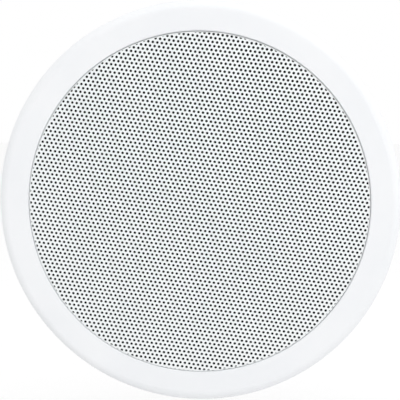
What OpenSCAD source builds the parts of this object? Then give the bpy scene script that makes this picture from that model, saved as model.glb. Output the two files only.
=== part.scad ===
// Round surface-mount loudspeaker, in millimetres.
// It hangs on a wall: the wall is the plane Y = 0, the grille faces -Y and +Z is up.
// Every piece is drawn on the bench, lying on its back, with z as its height above the wall.

/* [Front] */
// Outside diameter of the rim
rim_d = 224; // [220:1:236]
// Width of the rim around the grille
rim_w = 17; // [15:0.25:18]
// Distance from the wall to the face of the rim
depth = 84; // [84:1:110]
// Radius of the rim's rounded outer edge
edge_r = 5; // [3.5:0.5:6]
// Thickness of the moulded walls
wall_t = 3; // [2.5:0.1:3.2]
// Width of the dark line between the rim and the grille
grille_gap = 0.2; // [0.2:0.1:1]

/* [Grille sheet] */
// Thickness of the perforated steel
sheet_t = 0.8; // [0.6:0.1:1]
// Distance between neighbouring holes of the real sheet
hole_pitch = 2.5; // [2:0.25:4]
// Diameter of a hole of the real sheet
hole_d = 1.55; // [1:0.05:1.8]
// How many times coarser the holes are drawn than on the real sheet
drawn_step = 3; // [2:1:6]
// Turn of the rows of holes against the horizontal
row_angle = -8; // [-30:1:30]

/* [Housing] */
// Outside diameter at the wall
base_d = 196; // [190:1:200]
// Depth of the hollow at the back that takes the wall plate
recess = 12; // [12:0.5:14]
// Number of screws that hold the front to the housing
front_screws = 6; // [4:1:8]

/* [Woofer] */
// Diameter of the steel frame's flange
frame_d = 165; // [163:1:166]
// Diameter of the opening in the front for the woofer
cutout_d = 145; // [144:1:146]
// Diameter of the ferrite magnet
magnet_d = 90; // [80:1:92]
// Thickness of the ferrite magnet
magnet_t = 12; // [10:1:14]
// Inner diameter of the voice coil's former
coil_d = 25.4; // [24:0.1:26]

/* [Tweeter] */
// Diameter of the tweeter's cup
tweeter_d = 42; // [40:1:46]
// Diameter of the dome
dome_d = 14; // [12:1:16]

/* [Wall fixing] */
// Diameter of the wall plate
plate_d = 124; // [122:1:126]
// Thickness of the wall plate
plate_t = 1.6; // [1.2:0.1:2]
// Diameter of the circle on which the wall screws stand
fixing_pcd = 90; // [84:1:96]
// Diameter of a wall-screw hole
fixing_hole_d = 5.5; // [4.5:0.1:6]
// Diameter of the cable hole in the grommet
cable_hole_d = 10; // [6:0.5:11]

/* [Hidden] */
$fn = 96;
white = [0.95, 0.95, 0.96];
black = [0.08, 0.08, 0.09];
steel = [0.72, 0.72, 0.74];
brass = [0.8, 0.66, 0.3];
copper = [0.78, 0.42, 0.2];

// Rim and baffle
rim_r = rim_d / 2;
face_z = depth;
grille_hole_r = rim_r - rim_w + grille_gap / 2;
groove_wall_t = 2.5;
groove_out_r = grille_hole_r + groove_wall_t;
baffle_z = depth - 18;
baffle_t = 4;
baffle_top_z = baffle_z + baffle_t;
ledge_z = baffle_top_z + 6;
ledge_w = 2.6;
ledge_r = grille_hole_r - ledge_w;
skirt_end_z = baffle_z + 2;
cutout_r = cutout_d / 2;
frame_r = frame_d / 2;
front_screw_r = (frame_r + ledge_r) / 2;
stop_z = face_z - wall_t - 2;
grip_r = 0.9;

// Grille
grille_r = grille_hole_r - grille_gap;
bend_r = 1.2;
flat_r = grille_r - 2;
drawn_pitch = hole_pitch * drawn_step;
drawn_hole_r = hole_d * drawn_step / 2;
cloth_t = 0.4;

// Housing
base_r = base_d / 2;
base_z = 1;
shell_top_r = rim_r - wall_t - 0.6;
back_z = recess + wall_t;
boss_r = 5;
pilot_r = 1.6;
function shell_r(z) = base_r + (z - base_z) * (shell_top_r - base_r) / (stop_z - base_z);

// Woofer, each height taken from the face of the baffle backwards
gasket_t = 1;
frame_t = 1.2;
flange_z = baffle_top_z + gasket_t;
flange_top_z = flange_z + frame_t;
lip_t = 0.6;
neck_z = flange_z - 29;
shelf_z = neck_z + 8;
top_plate_t = 4;
yoke_t = 5;
top_plate_z = neck_z - top_plate_t;
magnet_z = top_plate_z - magnet_t;
yoke_z = magnet_z - yoke_t;
yoke_r = magnet_d / 2 - 3;
former_r = coil_d / 2;
former_t = 0.25;
winding_t = 0.55;
pole_r = former_r - 0.4;
gap_r = former_r + former_t + winding_t + 0.4;
basket_r = cutout_r - 1;
shelf_r = 40;
driver_screw_r = frame_r - 3.1;
cone_lip_in = 59.5;
cone_lip_out = 63.8;
roll_r = 67.8;
roll_size = 4.2;

// Tweeter
tweeter_r = tweeter_d / 2;
cup_z = neck_z + 22;
cup_top_z = cup_z + 12;
post_bore_r = 1.6;
pole_bore_r = 4.2;

// Crossover board and input block
board_size = [56, 28, 1.6];
board_y = -68;
board_z = back_z + 5;
board_top_z = board_z + board_size[2];
board_hole = [24, 10];
block_y = 40;
block_size = [26, 15, 9];
block_ear_x = 16;
contact_x = 6.5;

// Wall plate and its twist-lock
plate_r = plate_d / 2;
raised_z = 3;
tongue_z = 5.8;
tongue_out_r = plate_r + 10;
tongue_angles = [90, 210, 330];
ear_r = 90;
lock_z = 6;
lock_seat_r = base_r - 0.4;

// Turns a piece from the bench to the wall
module on_wall() {
  rotate([90, 0, 0]) children();
}

// Copies a piece round the axis
module ring_of(count, radius, first = 0) {
  for (i = [0 : count - 1])
    rotate(first + i * 360 / count) translate([radius, 0, 0]) children();
}

// Rectangle from (r0, z0) to (r1, z1)
module block_2d(r0, z0, r1, z1) {
  translate([r0, z0]) square([r1 - r0, z1 - z0]);
}

// The same rectangle with its outer top corner rounded
module rounded_2d(r0, z0, r1, z1, corner) {
  block_2d(r0, z0, r1 - corner, z1);
  block_2d(r0, z0, r1, z1 - corner);
  translate([r1 - corner, z1 - corner]) circle(r = corner);
}

// Pan-head screw, head upwards, with its underside at z = 0
module screw(shank_r, head_r, head_h, length) {
  dome_r = 1.6 * head_r;
  slot_w = 0.22 * head_r;
  slot_l = 1.1 * head_r;
  difference() {
    rotate_extrude()
      intersection() {
        translate([0, head_h - dome_r]) circle(r = dome_r);
        square([head_r, head_h]);
      }
    for (turn = [0, 90])
      rotate(turn) translate([-slot_l / 2, -slot_w / 2, 0.4 * head_h]) cube([slot_l, slot_w, head_h]);
  }
  translate([0, 0, -length]) cylinder(h = length, r = shank_r);
}

// Tube swept along points that run mostly across x
function unit(v) = v / norm(v);
function heading(points, i) =
  unit(points[min(i + 1, len(points) - 1)] - points[max(i - 1, 0)]);
function tube_ring(points, i, radius, sides) =
  let (along = heading(points, i), side = unit(cross(along, [1, 0, 0])), up = cross(side, along))
    [for (k = [0 : sides - 1])
      points[i] + radius * (cos(k * 360 / sides) * side + sin(k * 360 / sides) * up)];
module tube(points, radius, sides = 8) {
  count = len(points);
  last = (count - 1) * sides;
  rings = [for (i = [0 : count - 1]) each tube_ring(points, i, radius, sides)];
  walls = [for (i = [0 : count - 2], k = [0 : sides - 1])
    let (next = (k + 1) % sides)
      [i * sides + k, i * sides + next, (i + 1) * sides + next, (i + 1) * sides + k]];
  start_cap = [for (k = [sides - 1 : -1 : 0]) k];
  end_cap = [for (k = [0 : sides - 1]) last + k];
  polyhedron(points = rings, faces = concat(walls, [start_cap, end_cap]), convexity = 4);
}

// Rim, grille groove and baffle in one moulding
module front_bezel() {
  color(white) on_wall() difference() {
    union() {
      rotate_extrude() difference() {
        union() {
          difference() {
            rounded_2d(grille_hole_r, skirt_end_z, rim_r, face_z, edge_r);
            rounded_2d(groove_out_r, skirt_end_z - 1, rim_r - wall_t, face_z - wall_t, max(edge_r - wall_t, 0.5));
          }
          block_2d(cutout_r, baffle_z, groove_out_r, baffle_top_z);
          block_2d(ledge_r, baffle_z, groove_out_r, ledge_z);
        }
        translate([grille_hole_r, face_z]) rotate(45) square(0.9, center = true);
      }
      // Bosses for the woofer's screws
      ring_of(4, driver_screw_r, 45) translate([0, 0, baffle_z - 8]) cylinder(h = 9, r = 4.2);
      // Ribs in the hollow rim, on which the housing's edge stops
      ring_of(24, groove_out_r - 0.5, 7.5)
        translate([0, -1, stop_z]) cube([rim_r - wall_t - groove_out_r + 1, 2, face_z - wall_t - stop_z + 0.5]);
      // Bars that grip the grille's folded edge
      ring_of(12, grille_r + grip_r, 15) translate([0, 0, ledge_z - 1]) cylinder(h = 6, r = grip_r);
    }
    ring_of(front_screws, front_screw_r) translate([0, 0, baffle_z - 1]) cylinder(h = baffle_t + 2, r = 2.2);
    ring_of(4, driver_screw_r, 45) translate([0, 0, baffle_z - 6]) cylinder(h = 12, r = pilot_r);
  }
}

// Centres of the drawn holes, on a triangular net that is turned by the row angle
module hole_field(field_r) {
  rows = ceil(field_r / drawn_pitch) + 2;
  rotate(row_angle)
    for (j = [-rows : rows])
      for (i = [-rows : rows]) {
        x = (i + (j % 2 == 0 ? 0 : 0.5)) * drawn_pitch;
        y = j * drawn_pitch * sqrt(3) / 2;
        if (norm([x, y]) < field_r) translate([x, y]) circle(r = drawn_hole_r, $fn = 24);
      }
}

// Perforated steel pan: flat face and an edge folded back into the groove
module grille() {
  color(white) on_wall() {
    translate([0, 0, face_z - sheet_t]) linear_extrude(sheet_t) difference() {
      circle(r = flat_r);
      hole_field(flat_r - drawn_hole_r - 0.3);
    }
    rotate_extrude() difference() {
      rounded_2d(flat_r, ledge_z, grille_r, face_z, bend_r);
      rounded_2d(flat_r - 1, ledge_z - 1, grille_r - sheet_t, face_z - sheet_t, bend_r - sheet_t);
    }
  }
}

// Black acoustic cloth glued to the back of the sheet
module grille_cloth() {
  color(black) on_wall()
    translate([0, 0, face_z - sheet_t - cloth_t]) cylinder(h = cloth_t, r = grille_r - bend_r - 0.1);
}

module bezel_screws() {
  color(steel) on_wall()
    ring_of(front_screws, front_screw_r) translate([0, 0, baffle_top_z]) screw(pilot_r - 0.05, 3.6, 2.4, 14);
}

// Pressed steel frame of the woofer, with six windows
module basket() {
  color(black) on_wall() difference() {
    union() {
      rotate_extrude() polygon([
        [frame_r, flange_z], [basket_r, flange_z], [basket_r, flange_z - 7],
        [shelf_r + 0.4, shelf_z], [35.7, shelf_z], [35.7, neck_z], [18, neck_z],
        [18, neck_z + frame_t], [34.5, neck_z + frame_t], [34.5, shelf_z + frame_t],
        [shelf_r, shelf_z + frame_t], [basket_r - frame_t, flange_z - 6.3],
        [basket_r - frame_t, flange_top_z], [frame_r, flange_top_z]]);
      // Tab that carries the terminal strip
      translate([-7, -46, shelf_z]) cube([14, 8, frame_t]);
    }
    for (i = [0 : 5])
      rotate(i * 60 + 10) rotate_extrude(angle = 40) block_2d(45, shelf_z - 1, 65, flange_z);
    ring_of(4, driver_screw_r, 45) translate([0, 0, flange_z - 1]) cylinder(h = 4, r = 2.1);
  }
}

// Foam ring between the frame and the baffle
module driver_gasket() {
  color(black) on_wall() difference() {
    translate([0, 0, baffle_top_z]) cylinder(h = gasket_t, r = frame_r - 0.5);
    translate([0, 0, baffle_top_z - 1]) cylinder(h = gasket_t + 2, r = cutout_r + 0.5);
    ring_of(4, driver_screw_r, 45) translate([0, 0, baffle_top_z - 1]) cylinder(h = 3, r = 2.1);
  }
}

module driver_screws() {
  color(steel) on_wall()
    ring_of(4, driver_screw_r, 45) translate([0, 0, flange_top_z]) screw(pilot_r - 0.05, 2.8, 2, 12);
}

// Ring that clamps the surround's outer lip
module front_ring() {
  color(black) on_wall() rotate_extrude()
    rounded_2d(roll_r + roll_size + 0.4, flange_top_z + lip_t, driver_screw_r - 3, flange_top_z + lip_t + 2.2, 0.8);
}

// Rubber half-roll between the cone and the frame
module surround() {
  color(black) on_wall() rotate_extrude() {
    block_2d(cone_lip_in, flange_top_z, roll_r - roll_size + 0.3, flange_top_z + lip_t);
    block_2d(roll_r + roll_size - 0.3, flange_top_z, driver_screw_r - 3, flange_top_z + lip_t);
    translate([roll_r, flange_top_z]) difference() {
      circle(r = roll_size);
      circle(r = roll_size - lip_t);
      block_2d(-roll_size - 1, -roll_size - 1, roll_size + 1, 0);
    }
  }
}

// Pressed paper cone with a collar on the former and a flat outer lip
module cone() {
  skin = 0.6;
  collar_r = former_r + former_t;
  collar_z = neck_z + 13;
  color(black) on_wall() rotate_extrude() polygon([
    [collar_r, collar_z - 2], [collar_r + skin, collar_z - 2], [collar_r + skin, collar_z - 0.2],
    [cone_lip_in, flange_top_z - lip_t], [cone_lip_out, flange_top_z - lip_t],
    [cone_lip_out, flange_top_z], [cone_lip_in, flange_top_z], [collar_r, collar_z + 0.6]]);
}

// Corrugated cloth spring that centres the coil
module spider() {
  cloth = 0.5;
  waves = 5;
  steps = 8;
  in_r = 15;
  out_r = 34;
  low_z = shelf_z + frame_t;
  line = [for (i = [0 : waves * steps])
    [in_r + i * (out_r - in_r) / (waves * steps), low_z + 1.1 * sin(i * 360 / steps)]];
  lower = concat([[former_r + former_t, low_z]], line, [[shelf_r - 0.5, low_z]]);
  count = len(lower);
  upper = [for (i = [count - 1 : -1 : 0]) lower[i] + [0, cloth]];
  color([0.75, 0.6, 0.3]) on_wall() rotate_extrude() polygon(concat(lower, upper));
}

module coil_former() {
  color(brass) on_wall() rotate_extrude()
    block_2d(former_r, neck_z - 7, former_r + former_t, neck_z + 15);
}

module voice_coil() {
  color(copper) on_wall() rotate_extrude()
    block_2d(former_r + former_t, neck_z - 6, former_r + former_t + winding_t, neck_z + 2);
}

module top_plate() {
  color(steel) on_wall() rotate_extrude() block_2d(gap_r, top_plate_z, yoke_r, neck_z);
}

module magnet() {
  color([0.2, 0.2, 0.21]) on_wall() rotate_extrude()
    block_2d(20, magnet_z, magnet_d / 2, magnet_z + magnet_t);
}

// Back plate and pole turned from one bar, bored for the tweeter's post
module yoke() {
  color(steel) on_wall() rotate_extrude() {
    block_2d(pole_bore_r, yoke_z, pole_r, neck_z);
    difference() {
      block_2d(pole_bore_r, yoke_z, yoke_r, magnet_z);
      translate([yoke_r, yoke_z]) rotate(45) square(2.4, center = true);
    }
  }
}

// Fibre strip under the frame's tab
module terminal_strip() {
  color([0.55, 0.35, 0.2]) on_wall() difference() {
    translate([-9, -48.5, shelf_z - 1.6]) cube([18, 10, 1.6]);
    for (x = [-5, 5])
      translate([x - 1.3, -47.4, shelf_z - 3]) cube([2.6, 0.6, 4]);
  }
}

module terminal_tags() {
  color(brass) on_wall()
    for (x = [-5, 5])
      translate([x - 1.3, -47.4, neck_z + 1]) difference() {
        cube([2.6, 0.6, 8.5]);
        translate([1.3, 2, 1.6]) rotate([90, 0, 0]) cylinder(h = 4, r = 0.6);
      }
}

// Braided leads from the tags to the back of the cone
tinsel_route = [[0, -47.1, 9.5], [0, -47.1, 12.5], [0, -45.5, 15.5], [0, -42, 17.2],
    [0, -37.5, 17.2], [0, -33.5, 16.6], [0, -31.4, 17.2], [0, -31, 19]];
module tinsel_leads() {
  color(copper) on_wall()
    for (x = [-5, 5]) translate([x, 0, neck_z]) tube(tinsel_route, 0.5, 6);
}

// Moulded post in the bore of the pole
module tweeter_post() {
  color(black) on_wall() rotate_extrude() difference() {
    union() {
      block_2d(0, yoke_z + 3, pole_bore_r - 0.05, neck_z + 0.5);
      block_2d(0, neck_z, 9, neck_z + 3);
      block_2d(0, neck_z, 7, cup_z);
      block_2d(0, cup_z - 2, 12, cup_z);
    }
    block_2d(-1, 0, post_bore_r, depth);
  }
}

module tweeter_cup() {
  color(black) on_wall() rotate_extrude() polygon([
    [post_bore_r, cup_z], [tweeter_r - 1, cup_z], [tweeter_r, cup_z + 1], [tweeter_r, cup_top_z],
    [tweeter_r - 2, cup_top_z], [tweeter_r - 2, cup_top_z - 1.6], [tweeter_r - 4, cup_top_z - 1.6],
    [tweeter_r - 4, cup_z + 3], [post_bore_r, cup_z + 3]]);
}

module tweeter_magnet() {
  color(steel) on_wall() translate([0, 0, cup_z + 3]) cylinder(h = 6, r = tweeter_r - 6);
}

// Dome and its flat rim, in one film
module tweeter_dome() {
  film = 0.5;
  rise = 3.2;
  base_z = cup_top_z - 1.6;
  dome_r = dome_d / 2;
  ball_r = (dome_r * dome_r + rise * rise) / (2 * rise);
  color([0.85, 0.85, 0.88]) on_wall() rotate_extrude() {
    block_2d(dome_r - 0.1, base_z, tweeter_r - 2.2, base_z + film);
    intersection() {
      translate([0, base_z + film + rise - ball_r]) difference() {
        circle(r = ball_r);
        circle(r = ball_r - film);
      }
      block_2d(0, base_z, dome_r + 0.2, cup_top_z + rise + 2);
    }
  }
}

module tweeter_face() {
  seat_z = cup_top_z - 1.1;
  color(black) on_wall() rotate_extrude() polygon([
    [tweeter_r, cup_top_z], [tweeter_r, cup_top_z + 1.2], [tweeter_r - 0.8, cup_top_z + 2],
    [tweeter_r - 3, cup_top_z + 2], [dome_d / 2 + 3, seat_z + 0.7], [dome_d / 2 + 3, seat_z],
    [tweeter_r - 2.2, seat_z], [tweeter_r - 2.2, cup_top_z]]);
}

// Drum with a drafted wall, a floor and a hollow back
module housing() {
  color(white) on_wall() difference() {
    union() {
      rotate_extrude() polygon([
        [0, recess], [shell_r(recess) - wall_t, recess], [base_r - wall_t, base_z],
        [base_r - 1, base_z], [shell_r(base_z + 1), base_z + 1], [shell_top_r, stop_z],
        [shell_top_r - wall_t, stop_z], [shell_r(back_z) - wall_t, back_z], [0, back_z]]);
      intersection() {
        union() {
          // Long bosses for the front's screws, each tied to the wall by a web
          ring_of(front_screws, front_screw_r) {
            translate([0, 0, recess + 1]) cylinder(h = baffle_z - recess - 1, r = boss_r);
            translate([3, -1.2, recess + 1]) cube([25, 2.4, baffle_z - recess - 5]);
          }
          // Low ribs that stiffen the wall between the bosses
          ring_of(front_screws, shell_r(back_z) - 8, 180 / front_screws)
            translate([0, -1.2, recess + 1]) cube([25, 2.4, baffle_z - recess - 12]);
        }
        cylinder(h = stop_z, r1 = shell_r(0) - 1, r2 = shell_top_r - 1);
      }
      // Ribs of the hollow back
      intersection() {
        ring_of(12, tongue_out_r + 4, 15) translate([0, -1, recess - 4]) cube([30, 2, 5]);
        cylinder(h = stop_z, r1 = shell_r(0) - 1, r2 = shell_top_r - 1);
      }
      // Hooks that the wall plate's tongues slide behind
      for (turn = tongue_angles)
        rotate(turn - 12) rotate_extrude(angle = 24) polygon([
          [tongue_out_r + 0.4, recess + 1], [tongue_out_r + 3.4, recess + 1],
          [tongue_out_r + 3.4, tongue_z - 1.8], [tongue_out_r - 6, tongue_z - 1.8],
          [tongue_out_r - 6, tongue_z], [tongue_out_r + 0.4, tongue_z]]);
      // Posts under the crossover board and behind the input block
      for (x = [-1, 1], y = [-1, 1])
        translate([x * board_hole[0], board_y + y * board_hole[1], recess + 1])
          cylinder(h = board_z - recess - 1, r = 3);
      for (x = [-block_ear_x, block_ear_x])
        translate([x, block_y, recess + 1]) cylinder(h = 7, r = 3);
    }
    ring_of(front_screws, front_screw_r) translate([0, 0, baffle_z - 14]) cylinder(h = 20, r = pilot_r);
    for (x = [-1, 1], y = [-1, 1])
      translate([x * board_hole[0], board_y + y * board_hole[1], board_z - 6]) cylinder(h = 10, r = 1.1);
    for (x = [-block_ear_x, block_ear_x])
      translate([x, block_y, recess - 1]) cylinder(h = 7, r = 1.1);
    // Passage of the inner lead under the input block
    translate([-8, block_y, recess - 1]) cylinder(h = wall_t + 2, r = 1.6);
    // Seat and hole of the lock screw, in the skirt at the bottom
    translate([0, -lock_seat_r, lock_z]) rotate([90, 0, 0]) {
      translate([0, 0, -6]) cylinder(h = 16, r = 2.2);
      cylinder(h = 10, r = 4.2);
    }
  }
}

module crossover_board() {
  color([0.12, 0.35, 0.2]) on_wall() difference() {
    translate([-board_size[0] / 2, board_y - board_size[1] / 2, board_z]) cube(board_size);
    for (x = [-1, 1], y = [-1, 1])
      translate([x * board_hole[0], board_y + y * board_hole[1], board_z - 1]) cylinder(h = 4, r = 1.4);
  }
}

module inductor_bobbin() {
  color(black) on_wall() translate([-9, board_y - 2, board_top_z]) rotate_extrude() polygon([
    [2.5, 0], [10.5, 0], [10.5, 1.2], [5, 1.2], [5, 12.8], [10.5, 12.8], [10.5, 14], [2.5, 14]]);
}

module inductor_winding() {
  color(copper) on_wall() translate([-9, board_y - 2, board_top_z]) rotate_extrude() difference() {
    block_2d(5, 1.2, 9.6, 12.8);
    for (i = [0 : 7]) translate([9.9, 1.2 + (i + 0.5) * 11.6 / 8]) circle(r = 0.5);
  }
}

module capacitor() {
  color([0.85, 0.8, 0.5]) on_wall() translate([5.5, board_y + 4.5, board_top_z + 5.5]) rotate([0, 90, 0])
    rotate_extrude() difference() {
      block_2d(0, 0, 5.5, 15);
      translate([5.9, 3]) circle(r = 0.8);
      translate([5.5, 0]) rotate(45) square(1.2, center = true);
      translate([5.5, 15]) rotate(45) square(1.2, center = true);
    }
}

module resistor() {
  color([0.85, 0.85, 0.8]) on_wall() translate([4, board_y - 11, board_top_z]) difference() {
    cube([17, 7, 7]);
    translate([-1, -1, 6.4]) cube([19, 1.6, 2]);
    translate([-1, 6.4, 6.4]) cube([19, 1.6, 2]);
  }
}

module board_screws() {
  color(steel) on_wall()
    for (x = [-1, 1], y = [-1, 1])
      translate([x * board_hole[0], board_y + y * board_hole[1], board_top_z]) screw(1.05, 2.4, 1.6, 6);
}

// Two-way terminal block in the hollow back, opening towards the wall
module input_block() {
  size = block_size;
  color([0.2, 0.2, 0.22]) on_wall() difference() {
    union() {
      translate([-size[0] / 2, block_y - size[1] / 2, recess - size[2]]) cube(size);
      for (x = [-block_ear_x, block_ear_x])
        translate([x, block_y, recess - 3]) cylinder(h = 3, r = 4);
      translate([-block_ear_x, block_y - 4, recess - 3]) cube([2 * block_ear_x, 8, 3]);
    }
    for (x = [-contact_x, contact_x]) {
      translate([x, block_y, recess - size[2] - 1]) cylinder(h = size[2] - 1, r = 2.8);
      translate([x, block_y, recess - 5]) rotate([90, 0, 0]) cylinder(h = 20, r = 1.8);
    }
    for (x = [-block_ear_x, block_ear_x])
      translate([x, block_y, recess - 4]) cylinder(h = 5, r = 1.4);
  }
}

// Brass barrels with a cross hole for the wire and a slotted clamping screw
module block_contacts() {
  color(brass) on_wall()
    for (x = [-contact_x, contact_x])
      translate([x, block_y, recess - block_size[2] + 1]) difference() {
        cylinder(h = block_size[2] - 3, r = 2.7);
        translate([0, 0, 3]) rotate([90, 0, 0]) cylinder(h = 6, r = 1.5);
        translate([-3, -0.4, -1]) cube([6, 0.8, 1.8]);
      }
}

module block_screws() {
  color(steel) on_wall()
    for (x = [-block_ear_x, block_ear_x])
      translate([x, block_y, recess - 3]) rotate([180, 0, 0]) screw(1.05, 2.4, 1.6, 8);
}

// Lead from the input block through the floor, under the magnet, to the board
input_route = [[-8, 40, 12], [-8, 40, 15], [-8, 39, 17], [-8, 36, 18], [-8, 20, 18], [-8, 0, 18],
    [-8, -25, 18], [-8, -45, 18], [-8, -50, 19], [-8, -51.6, 21.5], [-8, -52.4, 24],
    [-8, -54, 25.4], [-8, -56.2, 25], [-8, -57, 23.4], [-8, -57, 21.6]];
module input_lead() {
  color(black) on_wall() tube(input_route, 1.3);
}

// Pair of leads from the board to the woofer's tags
woofer_route = [[0, -56.6, 21.6], [0, -56.6, 26], [0, -55.6, 31], [0, -53, 36], [0, -49.6, 39.6],
    [0, -47.1, 41.6], [0, -47.1, 43]];
module woofer_leads() {
  color([0.7, 0.1, 0.1]) on_wall()
    for (x = [-5, 5]) translate([x, 0, 0]) tube(woofer_route, 0.8);
}

// Lead from the board, under the yoke and up through the post to the tweeter
tweeter_route = [[12, -56.6, 21.6], [12, -56.6, 23.4], [11.8, -55, 24.6], [11.4, -52.8, 23.6],
    [11, -50.6, 20.4], [10.4, -48, 18.4], [8, -38, 17.6], [4, -20, 17.6], [1, -5, 17.8],
    [0.2, -1.2, 18.8], [0, 0, 21], [0, 0, 25], [0, 0, 40], [0, 0, 55], [0, 0, 67]];
module tweeter_lead() {
  color([0.8, 0.75, 0.2]) on_wall() tube(tweeter_route, 0.9);
}

// Wadding on the floor of the housing, above the magnet
module damping_pad() {
  color([0.85, 0.85, 0.83]) on_wall() rotate(15) rotate_extrude(angle = 150)
    rounded_2d(49, back_z, front_screw_r - boss_r - 1.5, back_z + 14, 5);
}

// Pressed steel plate: raised middle, three twist-lock tongues and an ear for the lock screw
module wall_plate() {
  slope = 6;
  color(steel) on_wall() difference() {
    union() {
      rotate_extrude() polygon([
        [cable_hole_d / 2 + 3.5, raised_z], [24, raised_z], [24 + slope, 0], [plate_r, 0],
        [plate_r, plate_t], [24 + slope + 0.8, plate_t], [24.8, raised_z + plate_t],
        [cable_hole_d / 2 + 3.5, raised_z + plate_t]]);
      for (turn = tongue_angles)
        rotate(turn - 10) rotate_extrude(angle = 20) polygon([
          [plate_r - 4, 0], [plate_r - 1 + plate_t, 0], [plate_r - 1 + plate_t, tongue_z],
          [tongue_out_r, tongue_z], [tongue_out_r, tongue_z + plate_t],
          [plate_r - 1, tongue_z + plate_t], [plate_r - 1, plate_t], [plate_r - 4, plate_t]]);
      translate([-7, -ear_r, 0]) cube([14, ear_r - plate_r + 3, plate_t]);
      translate([-7, -ear_r, 0]) cube([14, plate_t, lock_z + 4]);
    }
    ring_of(4, fixing_pcd / 2, 45) translate([0, 0, -1]) cylinder(h = plate_t + 2, r = fixing_hole_d / 2);
    translate([0, 4 - ear_r, lock_z]) rotate([90, 0, 0]) cylinder(h = 8, r = 1.9);
  }
}

// Rubber grommet snapped into the middle of the wall plate
module cable_grommet() {
  bore_r = cable_hole_d / 2;
  waist_r = bore_r + 3.4;
  color(black) on_wall() rotate_extrude() polygon([
    [bore_r, raised_z - 1.8], [waist_r + 3, raised_z - 1.8], [waist_r + 3, raised_z],
    [waist_r, raised_z], [waist_r, raised_z + plate_t], [waist_r + 3, raised_z + plate_t],
    [waist_r + 2, raised_z + plate_t + 1.8], [bore_r, raised_z + plate_t + 1.8]]);
}

module lock_screw() {
  color(steel) on_wall()
    translate([0, -lock_seat_r, lock_z]) rotate([90, 0, 0]) screw(1.85, 3.6, 2.2, 11);
}

front_bezel();
grille();
grille_cloth();
bezel_screws();
basket();
driver_gasket();
driver_screws();
front_ring();
surround();
cone();
spider();
coil_former();
voice_coil();
top_plate();
magnet();
yoke();
terminal_strip();
terminal_tags();
tinsel_leads();
tweeter_post();
tweeter_cup();
tweeter_magnet();
tweeter_dome();
tweeter_face();
housing();
crossover_board();
inductor_bobbin();
inductor_winding();
capacitor();
resistor();
board_screws();
input_block();
block_contacts();
block_screws();
input_lead();
woofer_leads();
tweeter_lead();
damping_pad();
wall_plate();
cable_grommet();
lock_screw();
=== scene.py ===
import math

import bmesh
import bpy
import numpy as np
from mathutils import Matrix, Vector, geometry


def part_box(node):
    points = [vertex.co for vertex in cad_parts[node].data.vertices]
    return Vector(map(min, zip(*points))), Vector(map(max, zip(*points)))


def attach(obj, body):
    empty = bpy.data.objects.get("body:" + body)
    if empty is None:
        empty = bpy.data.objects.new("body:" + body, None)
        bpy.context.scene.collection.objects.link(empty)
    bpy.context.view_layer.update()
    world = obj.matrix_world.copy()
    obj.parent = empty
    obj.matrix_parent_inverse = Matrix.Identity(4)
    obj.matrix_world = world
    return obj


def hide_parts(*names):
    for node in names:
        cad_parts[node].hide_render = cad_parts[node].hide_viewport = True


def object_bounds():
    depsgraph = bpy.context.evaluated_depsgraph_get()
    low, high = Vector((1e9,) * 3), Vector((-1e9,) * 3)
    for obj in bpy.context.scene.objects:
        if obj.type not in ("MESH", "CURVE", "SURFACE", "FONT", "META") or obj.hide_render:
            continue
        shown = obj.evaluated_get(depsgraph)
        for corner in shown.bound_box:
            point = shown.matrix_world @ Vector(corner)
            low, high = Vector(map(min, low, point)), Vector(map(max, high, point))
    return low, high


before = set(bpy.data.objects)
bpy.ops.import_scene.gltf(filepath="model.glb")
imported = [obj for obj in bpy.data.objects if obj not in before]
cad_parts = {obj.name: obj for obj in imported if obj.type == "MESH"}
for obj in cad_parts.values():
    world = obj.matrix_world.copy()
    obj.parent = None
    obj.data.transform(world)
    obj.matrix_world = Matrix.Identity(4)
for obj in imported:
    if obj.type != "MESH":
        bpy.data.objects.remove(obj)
cad_box = [list(corner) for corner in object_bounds()]


# Wall plate
# The round plate that is screwed to the wall first. It is pressed from galvanised steel sheet, with a
# raised middle, three tongues for the twist-lock and an ear that takes the lock screw.

MM = 0.001


def noise(tree, size, detail=3.0, rough=0.5, stretch=None):
    """Noise with features of a size in millimetres, as a node output."""
    place = tree.nodes.new("ShaderNodeTexCoord").outputs["Object"]
    if stretch:
        mapping = tree.nodes.new("ShaderNodeMapping")
        mapping.inputs["Scale"].default_value = stretch
        tree.links.new(place, mapping.inputs["Vector"])
        place = mapping.outputs["Vector"]
    cloud = tree.nodes.new("ShaderNodeTexNoise")
    cloud.inputs["Scale"].default_value = 1 / (size * MM)
    cloud.inputs["Detail"].default_value = detail
    cloud.inputs["Roughness"].default_value = rough
    tree.links.new(place, cloud.inputs["Vector"])
    return cloud.outputs["Fac"]


def new_finish(name, metal=0.0):
    """An empty finish: its material, its node tree and its shader."""
    material = bpy.data.materials.new(name)
    material.use_nodes = True
    tree = material.node_tree
    shader = tree.nodes["Principled BSDF"]
    shader.inputs["Metallic"].default_value = metal
    return material, tree, shader


def tint(tree, shader, pattern, dark, light, low=0.35, high=0.65):
    """Lets the colour drift between two tones where a pattern is low and high."""
    ramp = tree.nodes.new("ShaderNodeValToRGB")
    ramp.color_ramp.elements[0].position = low
    ramp.color_ramp.elements[0].color = (*dark, 1)
    ramp.color_ramp.elements[1].position = high
    ramp.color_ramp.elements[1].color = (*light, 1)
    tree.links.new(pattern, ramp.inputs["Fac"])
    tree.links.new(ramp.outputs["Color"], shader.inputs["Base Color"])


def polish(tree, shader, pattern, low, high, pattern_low=0.3, pattern_high=0.7):
    """Lets the roughness follow a pattern, over the range that most of the pattern has."""
    span = tree.nodes.new("ShaderNodeMapRange")
    span.inputs["From Min"].default_value = pattern_low
    span.inputs["From Max"].default_value = pattern_high
    span.inputs["To Min"].default_value = low
    span.inputs["To Max"].default_value = high
    tree.links.new(pattern, span.inputs["Value"])
    tree.links.new(span.outputs["Result"], shader.inputs["Roughness"])


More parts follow.
